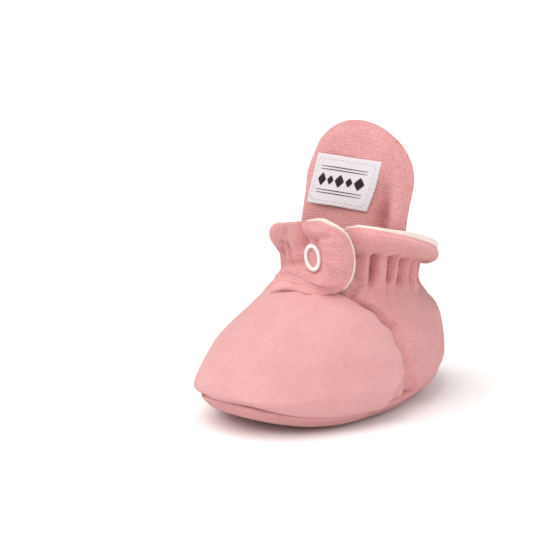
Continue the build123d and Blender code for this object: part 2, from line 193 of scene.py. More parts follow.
def fabric(name, lit, deep, course_mm, wale_mm, course_depth, fuzz, sheen, mottle=0.5):
    """A knitted or woven cloth. Its UV map is in centimetres along the cloth, so a course keeps its
    real size: rows of loops course_mm apart, wale_mm along the row, under a short fuzzy nap."""
    material, nodes, links, shader = new_material(name, lit, 0.92)
    m = Maker(nodes, links)
    uv, u, v = m.uv()
    drift = m.span(m.noise(uv, 2.2, 2), 0, 1, -0.03, 0.03)
    course, wale = [m.math("SINE", m.math("MULTIPLY", m.math("ADD", place, drift), 2 * math.pi * 10 / size))
                    for place, size in ((v, course_mm), (u, wale_mm))]
    broken = m.span(m.noise(uv, 14.0, 3), 0.3, 0.7, 0.2, 1.0)
    rows = m.math("MULTIPLY", course, broken)
    loops = m.math("MULTIPLY", m.math("MULTIPLY", wale, rows), 0.7)
    nap = m.noise(uv, 30.0, 5, 0.65)
    pile = m.noise(uv, 70.0, 3, 0.6)
    knit = m.math("ADD", rows, loops)
    cloudy = m.noise(uv, 0.9, 3, 0.55)
    patchy = m.noise(uv, 5.5, 3, 0.6)
    # The colour mixes from lit to deep: the random mottle is the cloth's own uneven tone, and the rest is
    # painted shade.
    shade = m.math("ADD", m.span(cloudy, 0.3, 0.7, 0.0, mottle * 0.7),
                   m.span(patchy, 0.3, 0.7, 0.0, mottle * 0.6))
    # painted shade: darker in the hollows between the knit's rows and loops
    shade = m.math("ADD", shade, m.span(knit, -1, 1, course_depth * 0.34, 0))
    # painted shade: darker where the nap's fuzz lies low
    shade = m.math("ADD", shade, m.span(nap, 0.35, 0.65, 0.34 * fuzz, -0.10 * fuzz))
    shade = m.math("MINIMUM", m.math("MAXIMUM", shade, 0.0), 1.0)
    links.new(m.mix(shade, (*lit, 1), (*deep, 1)), shader.inputs["Base Color"])
    links.new(m.span(nap, 0.3, 0.7, 0.82, 1.0), shader.inputs["Roughness"])
    normal = m.bump(knit, 0.00009 * course_depth)
    normal = m.bump(nap, 0.00022 * fuzz, normal)
    normal = m.bump(pile, 0.00009 * fuzz, normal)
    links.new(normal, shader.inputs["Normal"])
    put(shader, {"Specular IOR Level": 0.15, "Sheen Weight": sheen, "Sheen Roughness": 0.45,
                 "Sheen Tint": (1.0, 0.86, 0.84, 1)})
    return material


def enamel(name, colour, roughness):
    """Painted snap metal, a little uneven and with faint wear specks."""
    material, nodes, links, shader = new_material(name, colour, roughness)
    m = Maker(nodes, links)
    place = nodes.new("ShaderNodeTexCoord").outputs["Object"]
    links.new(m.span(m.noise(place, 900, 3), 0.3, 0.7, roughness * 0.8, roughness * 1.3),
              shader.inputs["Roughness"])
    worn = m.span(m.noise(place, 2600, 2), 0.62, 0.75, 0, 0.35)
    links.new(m.mix(worn, (*colour, 1), (colour[0] * 0.82, colour[1] * 0.78, colour[2] * 0.77, 1)),
              shader.inputs["Base Color"])
    links.new(m.bump(m.noise(place, 1400, 2), 0.00003), shader.inputs["Normal"])
    put(shader, {"Coat Weight": 0.35, "Coat Roughness": 0.15})
    return material


# Lit and deep tones of each cloth: the deep end carries random mottle and painted shade in the knit's and
# nap's hollows.
PINK_LIT, PINK_DEEP = (0.84, 0.45, 0.44), (0.70, 0.29, 0.29)
NAP_LIT, NAP_DEEP = (0.74, 0.41, 0.40), (0.62, 0.26, 0.265)
CREAM_LIT, CREAM_DEEP = (0.90, 0.82, 0.74), (0.78, 0.66, 0.58)


# ---------- small mathematics
def smooth(x, low, high):
    """0 below low, 1 above high, and an even S between them."""
    t = np.clip((x - low) / (high - low), 0, 1)
    return t * t * (3 - 2 * t)


def hill(x, centre, width):
    return np.exp(-((x - centre) / width) ** 2)


def mixed(a, b, share):
    """Points of a where share is 0, of b where it is 1."""
    return a * (1 - share[..., None]) + b * share[..., None]


def waves(points, length, seed, count=9):
    """Smooth random height about 0, of roughly unit size, that varies over length."""
    random = np.random.default_rng(seed)
    total = np.zeros(points.shape[:-1])
    for _ in range(count):
        way = random.normal(size=points.shape[-1])
        way *= 2 * np.pi / length * random.uniform(0.6, 1.5) / np.linalg.norm(way)
        total += np.sin(points @ way + random.uniform(0, 2 * np.pi))
    return total / math.sqrt(count / 2)


def unit(vectors):
    return vectors / np.maximum(np.linalg.norm(vectors, axis=-1, keepdims=True), 1e-12)


def normals(grid):
    """Unit normals of a grid whose rows climb and whose columns run to the right, seen from outside."""
    return unit(np.cross(np.gradient(grid, axis=1), np.gradient(grid, axis=0)))


def steady(out, ring=3):
    """Directions near a grid's edges taken from a few points further in, and smoothed."""
    rows, columns = out.shape[:2]
    i = np.clip(np.arange(rows), ring, rows - 1 - ring)
    k = np.clip(np.arange(columns), ring, columns - 1 - ring)
    out = out[i][:, k]
    for _ in range(3):
        padded = np.pad(out, ((1, 1), (1, 1), (0, 0)), mode="edge")
        out = (padded[:-2, 1:-1] + padded[2:, 1:-1] + padded[1:-1, :-2] + padded[1:-1, 2:] + out) / 5
    return unit(out)


def border(rows, columns):
    """Rows and columns of a grid's edge points, anticlockwise seen from outside."""
    bottom = [(0, k) for k in range(columns - 1)]
    right = [(i, columns - 1) for i in range(rows - 1)]
    top = [(rows - 1, k) for k in range(columns - 1, 0, -1)]
    left = [(i, 0) for i in range(rows - 1, 0, -1)]
    return np.array(bottom + right + top + left).T


def border_away(grid, out):
    """Directions that lead away from a grid at its edge points, square to the edge."""
    i, k = border(*grid.shape[:2])
    edge = grid[i, k]
    tangent = np.roll(edge, -2, axis=0) - np.roll(edge, 2, axis=0)
    return unit(np.cross(tangent, out[i, k]))


def pushed_out(grid, out, lengths):
    """A grid whose edge points stand further out by these lengths, given over the whole grid."""
    i, k = border(*grid.shape[:2])
    grid = grid.copy()
    grid[i, k] += border_away(grid, out) * lengths[i, k][:, None]
    return grid


def distance_to_edge(grid, low=True, left=True):
    """How far each point of a grid is from its edges, measured straight. The low or left edge may be
    left out."""
    edges = [grid[-1], grid[:, -1]] + [grid[0]] * low + [grid[:, 0]] * left
    edges = np.concatenate([np.concatenate([e, (e[1:] + e[:-1]) / 2]) for e in edges])
    return np.array([np.linalg.norm(row[:, None] - edges[None], axis=-1).min(axis=1) for row in grid])


def relaxed(grid, weight, times):
    """A grid smoothed where weight is near 1 and left alone where it is 0."""
    for _ in range(times):
        p = np.pad(grid, ((1, 1), (1, 1), (0, 0)), mode="reflect", reflect_type="odd")
        mean = (p[:-2, 1:-1] + p[2:, 1:-1] + p[1:-1, :-2] + p[1:-1, 2:]) / 4
        grid = mixed(grid, mean, weight * 0.8)
    return grid


def lengths_along(grid, axis):
    """Distance along the grid lines of one axis, from its first row or column."""
    step = np.linalg.norm(np.diff(grid, axis=axis), axis=-1)
    zero = np.zeros_like(np.take(step, [0], axis=axis))
    return np.concatenate([zero, np.cumsum(step, axis=axis)], axis=axis)


def edge_distances(grid):
    """How far each point is from the low, left and right edges, along its grid's lines."""
    up, across = lengths_along(grid, 0), lengths_along(grid, 1)
    return up, across, across[:, -1:] - across


def distance_to_run(points, run):
    """Distance of flat points to a run of straight stretches."""
    best = np.full(points.shape[:-1], 1e9)
    for a, b in zip(np.array(run[:-1], float), np.array(run[1:], float)):
        t = np.clip(((points - a) @ (b - a)) / ((b - a) @ (b - a)), 0, 1)
        best = np.minimum(best, np.linalg.norm(points - a - t[..., None] * (b - a), axis=-1))
    return best


# ---------- meshes
def mesh_object(name, points, faces, uvs, material):
    """points in millimetres; uvs per point, in centimetres of cloth."""
    mesh = bpy.data.meshes.new(name)
    mesh.from_pydata((np.asarray(points) * MM).tolist(), [], faces)
    layer = mesh.uv_layers.new(name="cloth")
    index = np.empty(len(mesh.loops), np.int32)
    mesh.loops.foreach_get("vertex_index", index)
    layer.data.foreach_set("uv", np.asarray(uvs, np.float32)[index].ravel())
    mesh.materials.append(material)
    mesh.polygons.foreach_set("use_smooth", [True] * len(mesh.polygons))
    return add(name, mesh)


def grid_faces(rows, columns, start=0, flip=False, closed=False):
    """Quads of a grid whose points are numbered from start, row by row. A closed one joins its sides."""
    faces = []
    for low in range(start, start + (rows - 1) * columns, columns):
        for k in range(columns - 1 + closed):
            n = (k + 1) % columns
            quad = (low + k, low + n, low + columns + n, low + columns + k)
            faces.append(quad[::-1] if flip else quad)
    return faces


def slab(name, outer, thickness, material, uv=None, arcs=4, out=None):
    """A closed layer of cloth with rounded edges. outer is its face, as a grid of points, and out
    holds the directions it faces where the grid's own are not wanted."""
    rows, columns = outer.shape[:2]
    thickness = np.broadcast_to(thickness, (rows, columns))
    if out is None:
        out = normals(outer)
    inner = outer - out * thickness[..., None]
    if uv is None:
        uv = np.stack([lengths_along(outer, 1), lengths_along(outer, 0)], -1) / 10
    i, k = border(rows, columns)
    away = border_away(outer, out)
    drift = unit(uv[i, k] - uv[np.clip(i, 1, rows - 2), np.clip(k, 1, columns - 2)])
    middle, half = (outer[i, k] + inner[i, k]) / 2, (outer[i, k] - inner[i, k]) / 2
    radius = np.linalg.norm(half, axis=-1, keepdims=True)
    count = rows * columns
    points, uvs = [outer.reshape(-1, 3), inner.reshape(-1, 3)], [uv.reshape(-1, 2)] * 2
    rings = [i * columns + k]
    start = 2 * count
    for step in range(1, arcs):
        turn = math.pi * step / arcs
        points.append(middle + half * math.cos(turn) + away * radius * math.sin(turn))
        uvs.append(uv[i, k] + drift * radius * turn / 10)
        rings.append(start + np.arange(len(i)))
        start += len(i)
    rings.append(count + i * columns + k)
    faces = grid_faces(rows, columns) + grid_faces(rows, columns, count, flip=True)
    for low, high in zip(rings, rings[1:]):
        for m in range(len(i)):
            n = (m + 1) % len(i)
            faces.append((int(low[m]), int(high[m]), int(high[n]), int(low[n])))
    return mesh_object(name, np.concatenate(points), faces, np.concatenate(uvs), material)


def give(obj, body, replaces=()):
    """Hide the model's parts that a piece stands for, and hang it on the body that it rides on."""
    if replaces:
        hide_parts(*replaces)
    if body:
        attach(obj, body)


def threads(name, runs, radius, material):
    """Stitches: each run is a short row of points along a thread, with the surface's normal."""
    points, faces, uvs = [], [], []
    sides = 6
    for run, normal in runs:
        run = np.asarray(run, float)
        along = unit(np.gradient(run, axis=0))
        across = unit(np.cross(along, normal))
        up = np.cross(across, along)
        start = len(points)
        size = radius * np.sin(np.linspace(0.18, np.pi - 0.18, len(run))) ** 0.5
        for j, point in enumerate(run):
            for side in range(sides):
                turn = 2 * math.pi * side / sides
                points.append(point + size[j] * (across[j] * math.cos(turn) + up[j] * math.sin(turn)))
                uvs.append((j * 0.03, side * 0.02))
        faces += grid_faces(len(run), sides, start, closed=True)
        last = start + (len(run) - 1) * sides
        faces.append(tuple(range(start, start + sides))[::-1])
        faces.append(tuple(range(last, last + sides)))
    return mesh_object(name, np.array(points), faces, np.array(uvs), material)


# ---------- the upper's skin
# Key slices, from the sole to the rim of the cuff, in millimetres:
# front y, front z, back y, back z, half width, taper to the heel, rise to the outer side
KEYS = np.array([
    (-52.8, 2.5, 52.8, -0.5, 30.1, 0.10, 0.0),
    (-54.3, 8.4, 54.0, 6.0, 31.9, 0.10, 0.0),
    (-55.8, 14.0, 56.0, 13.0, 33.5, 0.09, 0.0),
    (-47.0, 24.0, 54.0, 22.5, 31.8, 0.07, 0.02),
    (-38.0, 30.6, 50.5, 29.5, 28.8, 0.05, 0.05),
    (-26.0, 37.2, 44.8, 33.6, 26.0, 0.02, 0.09),
    (-11.5, 46.6, 38.6, 37.6, 24.6, 0.0, 0.12),
    (-11.0, 55.5, 39.4, 43.6, 25.2, 0.0, 0.12),
    (-12.8, 63.3, 43.6, 45.6, 27.4, 0.0, 0.12),
    (-15.0, 70.0, 48.0, 47.0, 30.0, 0.0, 0.12),
])
STEPS = (np.hypot(*np.diff(KEYS[:, 0:2], axis=0).T) + np.hypot(*np.diff(KEYS[:, 2:4], axis=0).T)) / 2
MARKS = np.concatenate([[0], np.cumsum(STEPS)])
CASING_LOW, CASING_HIGH, RIM = MARKS[6], MARKS[7], MARKS[9]
SEAM_LIFT = 5.0         # the sole seam's height above the underside


def middle_and_reach(values):
    """Where a slice's middle lies along Y, and how far it reaches from there."""
    return (values[..., 0] + values[..., 2]) / 2, (values[..., 2] - values[..., 0]) / 2


def slice_values(height):
    """The seven values of the slice at a distance up the skin."""
    h = np.clip(height, MARKS[0], MARKS[-1] - 1e-6)
    i = np.searchsorted(MARKS, h, side="right") - 1
    span = (MARKS[i + 1] - MARKS[i])[..., None]
    t = (h - MARKS[i])[..., None] / span
    last = len(KEYS) - 1

    def slope(j):
        before, after = np.maximum(j - 1, 0), np.minimum(j + 1, last)
        return (KEYS[after] - KEYS[before]) / (MARKS[after] - MARKS[before])[..., None]

    value = KEYS[i] * (1 + 2 * t) * (1 - t) ** 2 + KEYS[i + 1] * t * t * (3 - 2 * t)
    return value + span * (slope(i) * t * (1 - t) ** 2 - slope(i + 1) * t * t * (1 - t))


def skin(angle, height):
    """Points of the skin, by the angle in degrees from the toe to the outer side, and the height."""
    angle, height = np.broadcast_arrays(np.asarray(angle, float), np.asarray(height, float))
    a = np.radians(angle)
    v = slice_values(height)
    centre, half = middle_and_reach(v)
    y = centre - half * np.cos(a)
    x = v[..., 4] * np.sin(a) * (1 + v[..., 5] * np.cos(a))
    z = v[..., 1] + (y - v[..., 0]) * (v[..., 3] - v[..., 1]) / (v[..., 2] - v[..., 0]) + v[..., 6] * x
    return np.stack([x, y, z], -1)


# The quarters' front edge, seen from the side: how far back it lies at each height
EDGE_Z = np.array([-4.0, 5.0, 13.0, 21.0, 31.0, 38.5, 44.3, 50.0])
EDGE_Y = np.array([13.0, 11.5, 7.0, 4.5, 1.5, -4.5, -10.5, -11.5])


def sole_height(y):
    """The underside of the sole: flat, with the toe and heel curling up."""
    toe, heel = np.maximum(-20.0 - y, 0), np.maximum(y - 28.0, 0)
    return toe ** 2 / 162.0 + heel ** 2 / 200.0


def edge_angle(height, side):
    """The angle at which a height on the skin crosses the quarters' front edge."""
    angle = np.full(np.broadcast(height, side).shape, 75.0)
    for _ in range(30):
        point = skin(side * angle, height)
        centre, half = middle_and_reach(slice_values(np.broadcast_to(height, angle.shape)))
        target = np.interp(point[..., 2], EDGE_Z, EDGE_Y)
        wanted = np.degrees(np.arccos(np.clip((centre - target) / half, -0.999, 0.999)))
        angle = angle * 0.4 + wanted * 0.6
    return angle


def height_where(angle, wanted):
    """The height on the skin at which z is as wanted, at an angle."""
    angle, wanted = np.broadcast_arrays(np.asarray(angle, float), np.asarray(wanted, float))
    height = wanted * 1.1
    for _ in range(40):
        height = np.clip(height - (skin(angle, height)[..., 2] - wanted) * 0.6, 0, RIM)
    return height


def seam_height(angle):
    """How far up the skin the sole seam lies at an angle."""
    angle = np.asarray(angle, float)
    height = np.full(angle.shape, SEAM_LIFT)
    for _ in range(30):
        point = skin(angle, height)
        height = np.maximum(height - (point[..., 2] - SEAM_LIFT - sole_height(point[..., 1])) * 0.6, 0)
    return height


def foot_of_edge(side):
    """Angle and height where the quarter's front edge meets the sole seam."""
    angle = np.array(75.0)
    for _ in range(12):
        angle = edge_angle(seam_height(side * angle), side)
    return float(angle), float(seam_height(side * angle))


# ---------- sole
OUTER_LAYER, LINING_LAYER, LAYER_GAP = 1.5, 1.2, 0.05
SOLE_HALF_LENGTH, SOLE_HALF_WIDTH, SOLE_TAPER = 52.5, 30.0, 0.10


def sole_point(turn, share, lift, swell):
    """A point of the sole: share 1 is its outline, swell moves it outwards, lift is its height."""
    length, width = SOLE_HALF_LENGTH + swell, SOLE_HALF_WIDTH + swell
    y = -length * np.cos(turn) * share
    x = width * np.sin(turn) * (1 + SOLE_TAPER * np.cos(turn)) * share
    return np.stack([x, y, sole_height(y) + lift], -1)


def make_sole():
    """The padded sole, with a rolled side and a groove where the upper is sewn on."""
    turn = np.linspace(0, 2 * math.pi, 241)[:-1]
    # the profile from the middle of the underside, round the side, to the middle of the top
    profile = [(s, 0.1 + 3.8 * s ** 8, 0.0) for s in np.linspace(0.03, 0.925, 26)]
    profile += [(1, 4.9 - 1.5 * math.cos(a), -2.5 + 2.2 * math.sin(a))
                for a in np.linspace(0.45, math.pi - 0.3, 12)]
    profile += [(1, 6.1, -2.6)] + [(share, 5.4, 0.0) for share in (0.9, 0.6, 0.3, 0.03)]
    grid = np.array([sole_point(turn, *place) for place in profile])
    wobble = waves(grid, 11.0, 3) * 0.12 + waves(grid, 34.0, 4) * 0.15
    side = smooth(grid[..., 2] - sole_height(grid[..., 1]), 0.4, 2.0)[..., None]
    outward = grid * np.array([1, 1, 0]) / np.linalg.norm(grid[..., :2], axis=-1, keepdims=True)
    grid = grid + outward * wobble[..., None] * side
    count, columns = grid.shape[:2]
    faces = grid_faces(count, columns, closed=True)
    faces.append(tuple(range(columns))[::-1])
    faces.append(tuple(range((count - 1) * columns, count * columns)))
    flat = grid.reshape(-1, 3)
    uv = np.stack([flat[:, 0] + flat[:, 2], flat[:, 1]], -1) / 10
    sole = mesh_object("padded_sole", flat, faces, uv, VELOUR)
    give(sole, "bootie", ("outsole", "sole_padding"))


INSOLE_HALF_LENGTH, INSOLE_HALF_WIDTH, INSOLE_LIFT, INSOLE_CROWN = 47.2, 25.8, 6.3, 0.7


def make_insole():
    """The soft insole, crowned a little and lying inside the upper."""
    rows, columns = 60, 100
    s = np.linspace(-1, 1, rows)[:, None]
    c = np.linspace(-1, 1, columns)[None, :]
    across = s * np.sqrt(1 - c * c / 2)
    along = c * np.sqrt(1 - s * s / 2)
    y = along * INSOLE_HALF_LENGTH
    x = across * INSOLE_HALF_WIDTH * (1 - SOLE_TAPER * along)
    crown = INSOLE_CROWN * np.sqrt(np.clip(1 - across ** 2 - along ** 2, 0, 1))
    rise = INSOLE_LIFT + sole_height(y) + crown
    flat = np.stack([x, y], -1)
    grid = np.stack([x, y, rise + waves(flat, 16.0, 8) * 0.15], -1)
    insole = slab("insole_pad", grid[::-1], LINING_LAYER, COTTON, flat[::-1] / 10)
    give(insole, "bootie", ("insole",))


# ---------- toe panel
LOBE_GROOVE = [(5.8, 18.6), (5.0, 16.0), (-0.7, 10.2), (-4.6, 4.0)]      # (y, z), on the outer side
TOE_ROUND, ANKLE_ROUND = 36.0, 27.0     # radii at which the cloth's pattern keeps its true size


def make_toe():
    """The toe panel and its lining, puffed between its seams."""
    rows, columns = 120, 170
    share = np.linspace(-1, 1, columns)
    share = np.sin(share * math.pi / 2) * 0.35 + share * 0.65
    side = np.sign(share + 1e-9)
    low = np.array([foot_of_edge(s) for s in (-1.0, 1.0)])
    foot = np.where(share < 0, low[0, 0], low[1, 0])
    low_height = seam_height(share * foot) + 0.4
    t = np.linspace(0, 1, rows)[:, None]
    height = low_height[None] * (1 - t) + (CASING_LOW + 1.0) * t
    angle = share[None] * edge_angle(height, side[None])
    base = skin(angle, height)
    below, left, right = edge_distances(base)
    crease = np.minimum(left, right)
    z, y, x = base[..., 2], base[..., 1], base[..., 0]
    outer_side = smooth(x, 8, 16)
    # the side seams lie sunk, and scalloped on the outer side
    lift = 1.1 * (1 - np.exp(-crease / 4.0)) - 1.7 * np.exp(-(crease / 1.5) ** 1.6) * smooth(x, -8, 8)
    scallop = 0.5 + 0.5 * np.cos(height * 2 * math.pi / 9.5 + 0.8)
    lift -= 1.1 * scallop * np.exp(-(crease / 4.0) ** 1.5) * outer_side
    lift -= (0.4 + 2.5 * hill(z, 17, 9)) * smooth(-y, 2, 30)
    lift -= 1.2 * np.exp(-(below / 1.5) ** 1.5)
    # on the outer side a groove parts the panel from the lobe behind it
    groove = distance_to_run(base[..., 1:], LOBE_GROOVE)
    lift -= 2.6 * hill(groove, 0, 1.5) * outer_side * (1 - smooth(z, 19, 22))
    groove_y, groove_z = np.array(LOBE_GROOVE[::-1]).T
    behind = np.interp(z, groove_z, groove_y)
    lift -= 1.3 * smooth(y, behind, behind + 2.0) * outer_side * (1 - smooth(z, 16, 22))
    lift += 1.0 * hill(behind - y, 4.0, 3.2) * outer_side * (1 - smooth(z, 14, 24))
    lift += 0.28 * waves(base, 46.0, 21) + 0.10 * waves(base, 17.0, 22)
    # soft pulls that run down from under the flap
    for a, depth, width in ((14, 0.5, 3.0), (24, -0.35, 3.0), (-4, 0.25, 4.0)):
        lift -= depth * hill(angle, a, width * 1.6) * smooth(height, CASING_LOW - 24, CASING_LOW - 7)
    grid = base + normals(base) * lift[..., None]
    uv = np.stack([np.radians(angle) * TOE_ROUND, height], -1) / 10
    toe = slab("toe_vamp", grid, OUTER_LAYER, NAP, uv)
    give(toe, "bootie", ("toe_panel",))
    lining = grid - normals(grid) * (OUTER_LAYER + LAYER_GAP)
    inner = slab("toe_vamp_lining", lining, LINING_LAYER, COTTON, uv)
    give(inner, "bootie", ("toe_panel_lining",))


# ---------- quarters, cuff, flap and underlap
ANKLE_Y = 13.5
HEM = RIM - 3.4         # where the folded rim of the cuff ends
SNAP_FACE, SNAP_AZIMUTH = np.array([5.3, -13.3, 54.5]), -16.0
SNAP_ANGLE, SNAP_FLAT = 12.08, 5.1      # where it lies along the flap, and the flat left round it
FLAP_DEPTH, UNDERLAP_DEPTH = 0.9, 6.7   # how far their faces lie below the snap's
FLAP_START_ANGLE, FLAP_END_ANGLE = -40.0, 41.0
FLAP_LOW, FLAP_TOP = 42.4, 67.6
FLAP_ROUND_DEPTH = 11.0
JOIN_ANGLE, JOIN_Z = -12.0, 41.6        # where the flap's lower edge starts
TOP_JOIN_ANGLE, TOP_SPLIT_ANGLE = -30.0, 78.0
UNDERLAP_START, UNDERLAP_END, UNDERLAP_JOIN_Z = 46.0, -1.6, 42.6
ROWS = 100


def polar(angle, radius, z):
    """Points at an angle and radius about the ankle's upright centre line."""
    a = np.radians(angle)
    return np.stack([radius * np.sin(a), ANKLE_Y - radius * np.cos(a), z + 0 * a], -1)


def corner_path(angle, front, side, side_azimuth, bend):
    """Radius about the ankle of a band that is straight past the snap, then turns round the side."""
    first = front / np.maximum(np.cos(np.radians(angle - SNAP_AZIMUTH)), 0.3)
    second = side / np.maximum(np.cos(np.radians(angle - side_azimuth)), 0.3)
    gap = np.clip(1 - np.abs(first - second) / bend, 0, 1)
    return np.minimum(first, second) - gap * gap * bend / 4


def snap_distance(depth):
    """Distance from the ankle's centre line to the plane at a depth below the snap's face."""
    a = math.radians(SNAP_AZIMUTH)
    return SNAP_FACE[0] * math.sin(a) - (SNAP_FACE[1] - ANKLE_Y) * math.cos(a) - depth


def flap_radius(angle):
    return corner_path(angle, snap_distance(FLAP_DEPTH), 29.8, 54.5, 4.2)


def underlap_radius(angle):
    return corner_path(angle, snap_distance(UNDERLAP_DEPTH), 24.96, 58.66, 3.5)


def gathers(angle, height):
    """Depth of the folds that the elastic draws up round the ankle."""
    fan = (CASING_LOW - height) * smooth(CASING_LOW - height, 0, 12) * 0.5
    a = np.abs(angle) - fan
    seed = np.where(angle < 0, 2.1, 0.0)
    turns = (a - 59) / 13.9 + 0.5 + 0.04 * np.sin(a * 0.15 + seed) + 0.07 * np.sin(a * 0.31 + 1 + 2 * seed)
    ridge = (0.5 + 0.5 * np.cos(2 * np.pi * turns)) ** 0.45
    size = 1 + 0.25 * np.sin(a * 0.23 + 1.5 + seed)
    inside = smooth(height, CASING_LOW - 5.0, CASING_LOW + 2.5)
    inside = inside * (1 - smooth(height, CASING_HIGH - 0.5, CASING_HIGH + 2.4))
    under = np.exp(-(np.maximum(CASING_LOW - height, 0) / 8.0) ** 1.3) * (height < CASING_LOW + 2.5)
    return (1 - ridge) * size * np.maximum(3.9 * inside, 1.3 * under) - 0.5 * ridge * inside


def cuff_relief(height, curl=True):
    """The cuff's roll: a waist at the elastic, then a puffed band whose rim curls in."""
    share = np.clip((height - CASING_HIGH) / (HEM - CASING_HIGH), 0, 1)
    relief = 1.7 * np.sin(np.pi * share) ** 0.5 + 2.0 * share
    relief = relief - 0.7 * smooth(height, CASING_LOW - 4, CASING_LOW + 2) * (
        1 - smooth(height, CASING_HIGH - 0.8, CASING_HIGH + 1.4))
    if curl:
        t = np.clip((height - (HEM - 3.0)) / 3.0, 0, 0.97)
        relief = relief - 2.4 * (1 - np.sqrt(1 - t * t))
    return relief


SEAM_COLUMNS, CLIMB_COLUMNS = 84, 52
# The inner quarter overlaps the toe panel: its front edge as heights on the skin and angles
INNER_EDGE_HEIGHT = np.array([4.0, 13.0, 24.4, 33.9, 40.0, 44.3, 48.0, 52.0, 56.0])
INNER_EDGE_ANGLE = np.array([102.0, 97.0, 84.0, 69.0, 56.0, 42.0, 28.0, 14.0, 6.0])


def front_edge(side, height):
    if side < 0:
        return np.interp(height, INNER_EDGE_HEIGHT, INNER_EDGE_ANGLE)
    return edge_angle(height, side) - 3.0 * (1 - smooth(height, CASING_LOW - 14, CASING_LOW - 6))


def half_panel(side, top_split, top_join, join_angle, join_z, rows):
    """Skin angles and heights of a quarter, from the heel round to where its flap or underlap starts.
    Its lower edge follows the sole seam and then the front edge; its upper edge is the rim."""
    foot_angle, foot_height = foot_of_edge(side)
    foot_angle = float(front_edge(side, np.array(foot_height)))
    around = np.linspace(180, foot_angle, SEAM_COLUMNS)
    low_seam = np.stack([side * around, seam_height(side * around)], -1)
    high_seam = np.stack([side * np.linspace(180, top_split, SEAM_COLUMNS), np.full(SEAM_COLUMNS, HEM)], -1)
    join_height = float(height_where(side * join_angle, join_z))
    steps = np.linspace(0, 1, CLIMB_COLUMNS + 1)[1:]
    climb = foot_height + (join_height - foot_height) * steps
    edge = front_edge(side, climb)
    edge += (join_angle - edge[-1]) * smooth(climb, climb[-12], climb[-1])
    low_edge = np.stack([side * edge, climb], -1)
    top_angle = top_split + (top_join - top_split) * steps
    high_edge = np.stack([side * top_angle, np.full(CLIMB_COLUMNS, HEM)], -1)
    low = np.concatenate([low_seam, low_edge])
    high = np.concatenate([high_seam, high_edge])
    t = np.linspace(0, 1, rows)[:, None, None]
    panel = low[None] * (1 - t) + high[None] * t
    return panel[..., 0], panel[..., 1]


def half_disc(columns, rows):
    """Share along and share up of a half disc's points: a grid with a rounded right end."""
    u = np.linspace(0, 1, columns)[None, :]
    v = np.linspace(-1, 1, rows)[:, None]
    return u * np.sqrt(1 - v * v / 2), v * np.sqrt(1 - u * u / 2)


def flap_sheet():
    """The flap's points laid out flat: how far along from its root, and how high."""
    share = np.linspace(0, 1, 42)[1:]
    low_along = FLAP_LOW_START + (FLAP_ROUND_START - FLAP_LOW_START) * share
    high_along = FLAP_HIGH_START + (FLAP_ROUND_START - FLAP_HIGH_START) * share
    up = np.linspace(0, 1, ROWS)[:, None]
    along = low_along[None] * (1 - up) + high_along[None] * up
    low = np.interp(share, [0, 0.35, 0.8, 1], [JOIN_Z, 42.6, FLAP_LOW, FLAP_LOW])
    height = low[None] * (1 - up) + np.interp(share, [0, 1], [HEM_Z, FLAP_TOP])[None] * up
    x, y = half_disc(20, ROWS)
    end_along = FLAP_ROUND_START + x * FLAP_ROUND_DEPTH
    end_height = (FLAP_LOW + FLAP_TOP) / 2 + y * (FLAP_TOP - FLAP_LOW) / 2
    return np.concatenate([along, end_along[:, 1:]], 1), np.concatenate([height, end_height[:, 1:]], 1)


FLAP_ANGLES = np.linspace(FLAP_START_ANGLE, 75, 700)
FLAP_LENGTHS = lengths_along(polar(FLAP_ANGLES, flap_radius(FLAP_ANGLES), 0), 0)


def flap_along(angle):
    """Distance along the flap's path from its start to an angle."""
    return np.interp(angle, FLAP_ANGLES, FLAP_LENGTHS)


FLAP_ROUND_START = flap_along(FLAP_END_ANGLE) - FLAP_ROUND_DEPTH
FLAP_LOW_START, FLAP_HIGH_START = flap_along(JOIN_ANGLE), flap_along(TOP_JOIN_ANGLE)
HEM_Z = skin(TOP_JOIN_ANGLE, HEM)[2]
SNAP_ALONG = flap_along(SNAP_ANGLE)


def flap_relief(along, z, edge):
    """How far the flap stands proud of its straight band: pulled flat at the snap, puffed elsewhere."""
    dx, dz = along - SNAP_ALONG, z - SNAP_FACE[2]
    away = np.maximum(np.hypot(dx, dz) - SNAP_FLAT, 0)
    puff = 3.1 * (1 - np.exp(-(away / 3.4) ** 2))
    top = 1.8 * smooth(z, 60, FLAP_TOP)
    valley = 3.5 * hill(dx + 0.2 * (z - 60), -5.4, 1.9) * smooth(z, 54.0, 59)
    low_roll = 1.1 * hill(z, 46.8, 2.6) * smooth(along, 6, 12)
    crease = 1.2 * hill(z - 0.12 * dx, 52.0, 1.2) * hill(dx, -9, 5)
    slanted = dx + 0.3 * (z - 52)
    notch = 2.2 * hill(slanted, -10.6, 0.9) + 2.0 * hill(slanted, -14.2, 1.0)
    notch = notch * (smooth(z, 49, 52) * (1 - smooth(z, 57.2, 58.4)))
    pull = 1.2 * hill(distance_to_run(np.stack([dx, dz], -1), [(1.0, 5.9), (5, 7.8), (9.5, 9.2)]), 0, 1.3)
    tuck = 2.5 * np.exp(-(edge / 2.6) ** 1.5) * smooth(along, 8, 24)
    return (puff + top + low_roll - valley - pull - tuck - crease - notch) * smooth(away, 0, 1.2)


def swollen(relief, base, height, seed):
    """A quarter's relief with soft, uneven swells: wide ones below the cuff, closer ones on it."""
    on_cuff = smooth(height, CASING_HIGH, CASING_HIGH + 4)
    relief = relief + 0.30 * waves(base, 17.0, seed) * (1 - on_cuff)
    return relief + 0.22 * waves(base, 12.0, seed + 1) * on_cuff


def sunk_seam(below):
    return np.exp(-(below / 1.8) ** 1.5)


def sunk_heel(heel):
    return 1.1 * np.exp(-heel / 1.6)


def lining_depth(height, flat):
    """How far the lining's face lies below the knit's: more in the cuff, unless it is flat there."""
    return OUTER_LAYER + 0.9 * smooth(height, CASING_HIGH, CASING_HIGH + 3) * (1 - flat)


